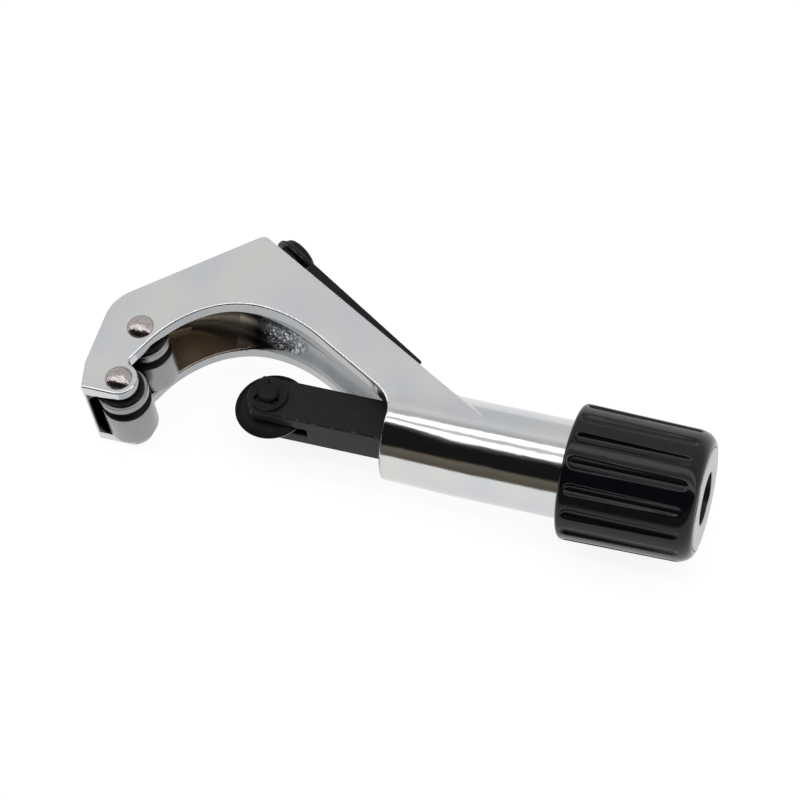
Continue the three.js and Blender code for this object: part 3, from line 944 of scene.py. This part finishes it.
def add_feed_screw():
    """Nose with its swivel groove, then a real trapezoid thread, then the tail inside the hub."""
    thread_start, thread_end = SLIDE_END + 0.6, KNOB_FLOOR - 0.3
    thread_depth, run_in = 0.75, 1.5
    nose_r, neck_r, tail_r = 3.0, 1.9, 3.0
    nose = [
        (17.2, 0.0), (17.2, nose_r - 0.4), (17.6, nose_r), (21.3, nose_r), (21.3, neck_r), (23.7, neck_r),
        (23.7, nose_r), (27.3, nose_r), (27.5, SCREW_R - 0.8),
    ]
    columns = 48
    angles = 2 * np.pi * np.arange(columns) / columns
    sections = plain_sections(nose, columns)
    for x in np.arange(thread_start, thread_end, 0.125):
        fade = np.clip((x - thread_start) / run_in, 0.35, 1)
        sections.append((x, SCREW_R - thread_depth * (1 - thread_height(x, angles) * fade)))
    sections += plain_sections([(thread_end, tail_r), (HUB_FLOOR, tail_r), (HUB_FLOOR, 0.0)], columns)
    add_threaded(
        "feed_screw_threaded", sections, angles, machined, "knob", "feed_screw",
    )


def add_feed_nut():
    """Brass nut pressed into the barrel, with the matching thread cut through it."""
    chamfer, clearance = 0.4, 0.12
    thread_depth, mouth_length = 0.7, 0.6
    columns = 64
    angles = 2 * np.pi * np.arange(columns) / columns
    front = [(NUT_START + chamfer, NUT_R), (NUT_START, NUT_R - chamfer)]
    sections = plain_sections(front, columns)
    for x in np.arange(NUT_START, BARREL_END + 0.01, 0.2):
        mouth = np.clip(1 - min(x - NUT_START, BARREL_END - x) / mouth_length, 0, 1)
        depth = thread_depth * (1 - thread_height(x, angles)) * (1 - mouth)
        sections.append((x, SCREW_R + clearance - depth))
    back = [(BARREL_END, NUT_R - chamfer), (BARREL_END - chamfer, NUT_R), (NUT_START + chamfer, NUT_R)]
    sections += plain_sections(back, columns)
    add_threaded("feed_nut_threaded", sections, angles, brass, "frame", "feed_nut")


def fluted_radius(x, land, angles):
    """The grip's radius round one section: lands of radius land, with ball-ended flutes between them."""
    past = max(FLUTE_FROM - x, x - FLUTE_TO, 0.0)
    if past >= FLUTE_R - 0.02:
        return np.full(angles.shape, land)
    mean = (KNOB_FRONT_R + KNOB_REAR_R) / 2
    centre = mean + FLUTE_R - FLUTE_DEPTH
    radius = math.sqrt(FLUTE_R**2 - past**2)
    pitch = 2 * np.pi / FLUTE_COUNT
    offset = (angles + pitch / 2) % pitch - pitch / 2
    room = radius**2 - (centre * np.sin(offset)) ** 2
    floor = np.where(room > 0, centre * np.cos(offset) - np.sqrt(np.maximum(room, 0)), land + 2)
    return smooth_union(np.full(angles.shape, land), floor, 0.14)


def quarter_turns(steps, first=0):
    """Angles from 0 to a right angle, from step number first onwards."""
    return [math.pi / 2 * k / steps for k in range(first, steps + 1)]


def grip_profile(recess, skirt_r):
    """The grip's (along, radius) section: bore, skirt, rounded front rim, flank, shoulder, hub recess."""
    bore = 8.65
    rim = 1.0
    shoulder = 68.2
    flank_steps = 90
    recess_floor = KNOB_END - 1.5
    profile = [(recess_floor, bore), (KNOB_FLOOR, bore), (KNOB_FLOOR, skirt_r), (KNOB_START + 0.5, skirt_r)]
    profile += [(KNOB_START + 0.12, skirt_r + 0.12), (KNOB_START, skirt_r + 0.5)]
    for angle in quarter_turns(8):
        profile.append((KNOB_START + rim * (1 - math.cos(angle)), KNOB_FRONT_R - rim * (1 - math.sin(angle))))
    flank = KNOB_START + rim
    for k in range(1, flank_steps + 1):
        x = flank + (shoulder - flank) * k / flank_steps
        profile.append((x, KNOB_FRONT_R + (KNOB_REAR_R - KNOB_FRONT_R) * k / flank_steps))
    lip_r = recess + 0.25
    for angle in quarter_turns(16, first=1):
        x = shoulder + (KNOB_END - 0.2 - shoulder) * math.sin(angle)
        profile.append((x, lip_r + (KNOB_REAR_R - lip_r) * math.cos(angle)))
    return profile + [(KNOB_END - 0.3, recess + 0.05), (KNOB_END - 0.6, recess), (recess_floor, recess)]


def add_knob_grip():
    """Moulded grip: hollow skirt, sixteen flutes and a rounded rear shoulder."""
    columns_per_flute = 26
    columns = FLUTE_COUNT * columns_per_flute
    angles = 2 * np.pi * (np.arange(columns) + 0.5) / columns + math.pi / FLUTE_COUNT
    recess = HUB_FLANGE_R + 0.12
    sections = []
    for x, land in grip_profile(recess, skirt_r=12.0):
        outside = land > recess + 0.6
        sections.append((x, fluted_radius(x, land, angles) if outside else np.full(columns, land)))
    faces = grid_faces(len(sections), columns)
    last = (len(sections) - 1) * columns
    faces += [(last + c, last + (c + 1) % columns, (c + 1) % columns, c) for c in range(columns)]
    grip = make_piece(
        "knob_grip_moulded", ring_points(sections, angles), faces, plastic, "knob",
        ["knob_grip"], sharp=math.radians(50),
    )
    face_outwards(grip)


def add_knob_hub():
    """The hub with its wide flange and deep hole, and the screw and washer at the hole's floor."""
    bore, body_r = 3.05, 8.55
    flange_low = KNOB_END - 1.4
    profile = [
        (KNOB_FLOOR, bore), (KNOB_FLOOR, body_r), (flange_low, body_r), (flange_low, HUB_FLANGE_R),
        (KNOB_END, HUB_FLANGE_R), (KNOB_END, HUB_HOLE_R), (HUB_FLOOR, HUB_HOLE_R), (HUB_FLOOR, bore),
    ]
    hub = turned(
        "knob_hub_cast", profile, "X", [zinc, bore_black], "knob", replaces=["knob_hub"], edge=0.25,
    )
    paint_faces(hub, 1, lambda c: c.yz.length < HUB_HOLE_R + 0.02 and c.x < KNOB_END - 0.35)
    low = (HUB_FLOOR - 6.5, -4.5, -4.5)
    high = (HUB_FLOOR + 3.5, 4.5, 4.5)
    carved("knob_screw_recessed", knob_screw_field, low, high, 0.18, oxide, "knob", "knob_screw")
    washer_low, washer_high = HUB_FLOOR + 0.1, HUB_FLOOR + 1.1
    washer = [(washer_low, 2.2), (washer_low, 5.4), (washer_high, 5.4), (washer_high, 2.2)]
    turned("knob_washer_flat", washer, "X", oxide, "knob", replaces=["knob_washer"])


def cross_recess(across, up, depth):
    """A tapered cross-shaped driver recess; depth is how far the point lies under the head."""
    half_width, half_length, floor = 0.42, 2.1, 1.3
    narrow = half_width - 0.12 * depth
    long = half_length - 0.7 * depth
    upright = slab(np.abs(across) - narrow, np.abs(up) - long, 0.15)
    level = slab(np.abs(up) - narrow, np.abs(across) - long, 0.15)
    return np.maximum(np.minimum(upright, level), depth - floor)


def knob_screw_field(x, y, z):
    """A pan-head screw with a cross recess."""
    radial = np.hypot(y, z)
    low, high = HUB_FLOOR + 1.15, HUB_FLOOR + 3.0
    shank_r, head_r, crown_r = 1.6, 3.8, 9
    shank = slab(radial - shank_r, np.abs(x - (HUB_FLOOR - 2.3)) - 3.7, 0.3)
    crown = np.hypot(radial, x - high + crown_r) - crown_r
    head = np.maximum(slab(radial - head_r, np.abs(x - (low + high) / 2) - (high - low) / 2, 0.4), crown)
    return smooth_cut(np.minimum(shank, head), cross_recess(y, z, high - x), 0.12)


# ---- the reamer
def reamer_outline():
    """The blade from above: a round root that tapers to a blunt point."""
    tip = REAMER_LENGTH - 0.6
    root = arc((0, 0), REAMER_ROOT_HALF, math.pi / 2, 1.5 * math.pi)
    return root + [(tip, -REAMER_TIP_HALF), (REAMER_LENGTH, 0), (tip, REAMER_TIP_HALF)]


reamer_distance = Outline(reamer_outline(), step=0.25)


def reamer_field(u, v, w):
    """The blade on its own axes: a folded trough, open towards the arm, that tapers to a point."""
    flat = reamer_distance(u, w)
    rise_start, tip_depth, hole_r = 12, 1, 2.0
    rise = (REAMER_TOP - tip_depth - REAMER_BASE) / (REAMER_LENGTH - rise_start)
    shallow = REAMER_BASE + np.maximum(u - rise_start, 0) * rise
    blade = slab(flat, np.maximum(v - REAMER_TOP, shallow - v), 0.35)
    hollow = slab(np.minimum(flat + REAMER_SHEET, u - REAMER_FOLD), v - REAMER_TOP + REAMER_SHEET, 0.4)
    blade = smooth_cut(blade, hollow, 0.25)
    return np.maximum(blade, hole_r - np.hypot(u, w))


def reamer_to_tool(points):
    """From the blade's own axes to the tool's."""
    c, s = math.cos(BACK_SLOPE), math.sin(BACK_SLOPE)
    u, v, w = np.asarray(points).T
    return np.stack([REAMER_FOOT[0] + u * c - v * s, REAMER_FOOT[1] + u * s + v * c, w], 1)


def add_reamer():
    """The folded blade, the stack of spring discs under it, and the flat washer and domed screw over it."""
    low = (-REAMER_ROOT_HALF - 1, REAMER_BASE - 1, -REAMER_ROOT_HALF - 1)
    high = (REAMER_LENGTH + 1, REAMER_TOP + 1, REAMER_ROOT_HALF + 1)
    points, faces, normals = surface(reamer_field, low, high, 0.27)
    turned_normals = reamer_to_tool(normals) - np.array([*REAMER_FOOT, 0])
    values = {"edge": edge_amount(reamer_field, points, 0.25)}
    make_piece(
        "reamer_folded", reamer_to_tool(points), faces, oxide, "reamer", ["reamer_blade"],
        turned_normals, values,
    )
    up = (-math.sin(BACK_SLOPE), math.cos(BACK_SLOPE), 0)
    foot = (*REAMER_FOOT, 0)
    inner, shank, washer_r, head_r = 2.2, 1.7, 5.0, 4.7
    disc_r, waist_r, disc_thickness, disc_pitch = 4.4, 3.9, 1.0, 1.14
    spring = [(0.1, inner)]
    for k in range(3):
        disc = 0.1 + disc_pitch * k
        top = disc + disc_thickness
        spring += [(disc, disc_r), (top, disc_r), (top + 0.07, waist_r)]
    spring[-1] = (top, inner)
    turned(
        "reamer_spring_stack", spring, up, oxide, "frame", foot, ["reamer_spring_washer"],
        edge=0.2,
    )
    washer_low = REAMER_TOP + 0.06
    head_low = washer_low + 0.7
    washer_top = head_low - 0.05
    flat = [(washer_low, inner), (washer_low, washer_r), (washer_top, washer_r), (washer_top, inner)]
    turned("reamer_flat_washer", flat, up, oxide, "frame", foot, ["reamer_washer"], edge=0.2)
    tail = -7
    screw = [(tail, 0), (tail, shank), (head_low, shank), (head_low, head_r)]
    screw += dome(head_low + 0.35, head_r, 1.4)
    turned("reamer_domed_screw", screw, up, oxide, "frame", foot, ["reamer_screw"], edge=0.15)


# ---- studio and camera
def add_floor():
    """A pale plane under the cutter, which lies on the knob's rim and the lower cheek's end."""
    rim = Vector((grip_low.x + 1.0 * MM, 0, grip_low.z))
    cheek = Vector((cad_low.x, 0, origin.z - FRAME_HALF * MM))
    along = (rim - cheek).normalized()
    across = Vector((0, 1, 0))
    middle = (rim + cheek) / 2 + Vector((0, origin.y, -0.0001))
    half = 2.5  # metres
    mesh = bpy.data.meshes.new("floor")
    signs = ((-1, -1), (1, -1), (1, 1), (-1, 1))
    corners = [middle + along * (a * half) + across * (b * half) for a, b in signs]
    mesh.from_pydata([tuple(c) for c in corners], [], [(0, 1, 2, 3)])
    mesh.update()
    floor = bpy.data.objects.new("floor", mesh)
    bpy.context.scene.collection.objects.link(floor)
    mesh.materials.append(pale_floor())


# Brightness of the overhead strips, and of the tent round the X axis, by degrees from overhead forwards.
STRIP = 2.3
STUDIO_BANDS = [
    (-180, 0.85), (-100, 0.95), (-75, 0.78), (-55, 0.80), (-34, 0.92), (-22, 0.62), (-17, 0.62),
    (-14, STRIP), (-6, STRIP), (-3, 0.8), (3, 0.8), (6, STRIP), (14, STRIP),
    (19, 0.15), (28, 0.012), (60, 0.012), (66, 0.16), (86, 0.10), (92, 0.7), (110, 0.9), (180, 0.85),
]


def add_studio():
    """A white tent, open at the front: two bright strips overhead and a dark room beyond the opening."""
    world = bpy.data.worlds.new("studio")
    world.use_nodes = True
    bpy.context.scene.world = world
    tree = world.node_tree
    background = tree.nodes["Background"]
    coordinates = tree.nodes.new("ShaderNodeTexCoord")
    split = tree.nodes.new("ShaderNodeSeparateXYZ")
    tree.links.new(coordinates.outputs["Generated"], split.inputs["Vector"])
    front = tree.nodes.new("ShaderNodeMath")
    front.operation = "MULTIPLY"
    front.inputs[1].default_value = -1
    tree.links.new(split.outputs["Y"], front.inputs[0])
    turn = tree.nodes.new("ShaderNodeMath")
    turn.operation = "ARCTAN2"
    tree.links.new(front.outputs["Value"], turn.inputs[0])
    tree.links.new(split.outputs["Z"], turn.inputs[1])
    spread = tree.nodes.new("ShaderNodeMapRange")
    spread.inputs["From Min"].default_value = -math.pi
    spread.inputs["From Max"].default_value = math.pi
    tree.links.new(turn.outputs["Value"], spread.inputs["Value"])
    ramp = tree.nodes.new("ShaderNodeValToRGB")
    tree.links.new(spread.outputs["Result"], ramp.inputs["Fac"])
    tree.links.new(ramp.outputs["Color"], background.inputs["Color"])
    while len(ramp.color_ramp.elements) > 1:
        ramp.color_ramp.elements.remove(ramp.color_ramp.elements[-1])
    for index, (degrees, level) in enumerate(STUDIO_BANDS):
        place = (degrees + 180) / 360
        if index == 0:
            stop = ramp.color_ramp.elements[0]
            stop.position = place
        else:
            stop = ramp.color_ramp.elements.new(place)
        warm = 0.14 if 60 < degrees < 90 else 0.0
        stop.color = (level * (1 + warm), level, level * (1.0 - 1.6 * warm), 1)


def add_camera():
    """The view from the jaw's open side, high up, with the tool turned a little in the picture."""
    heading, elevation, roll = math.radians(26.3), math.radians(57.28), math.radians(-10.75)
    distance = 575
    aim = Vector((3.12, 0.34, 14.59))
    level_share = math.cos(elevation)
    forward_x, forward_y = -math.sin(heading) * level_share, math.cos(heading) * level_share
    forward = Vector((forward_x, forward_y, -math.sin(elevation)))
    level = forward.cross(Vector((0, 0, 1))).normalized()
    upright = level.cross(forward)
    right = level * math.cos(roll) + upright * math.sin(roll)
    up = right.cross(forward)
    data = bpy.data.cameras.new("camera")
    data.lens = 116.34
    data.sensor_width = 36
    data.clip_start, data.clip_end = 0.01, 20
    camera = bpy.data.objects.new("camera", data)
    bpy.context.scene.collection.objects.link(camera)
    turn = Matrix((right, up, -forward)).transposed()
    camera.matrix_world = Matrix.Translation(origin + (aim - forward * distance) * MM) @ turn.to_4x4()
    bpy.context.scene.camera = camera


def dress_hidden_nodes():
    """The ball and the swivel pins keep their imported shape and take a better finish."""
    finishes = {"thrust_ball": pin_steel, "swivel_pin_upper": machined, "swivel_pin_lower": machined}
    for name, material in finishes.items():
        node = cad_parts[name]
        node.data.materials.clear()
        node.data.materials.append(material)


add_frame()
for suffix, side in (("inner", 1), ("outer", -1)):
    add_roller(suffix, side * ROLLER_Y)
add_slide_bar()
add_wheel()
add_feed_screw()
add_feed_nut()
add_knob_grip()
add_knob_hub()
add_reamer()
dress_hidden_nodes()
add_floor()
add_studio()
add_camera()
bpy.context.scene.view_settings.view_transform = "Standard"
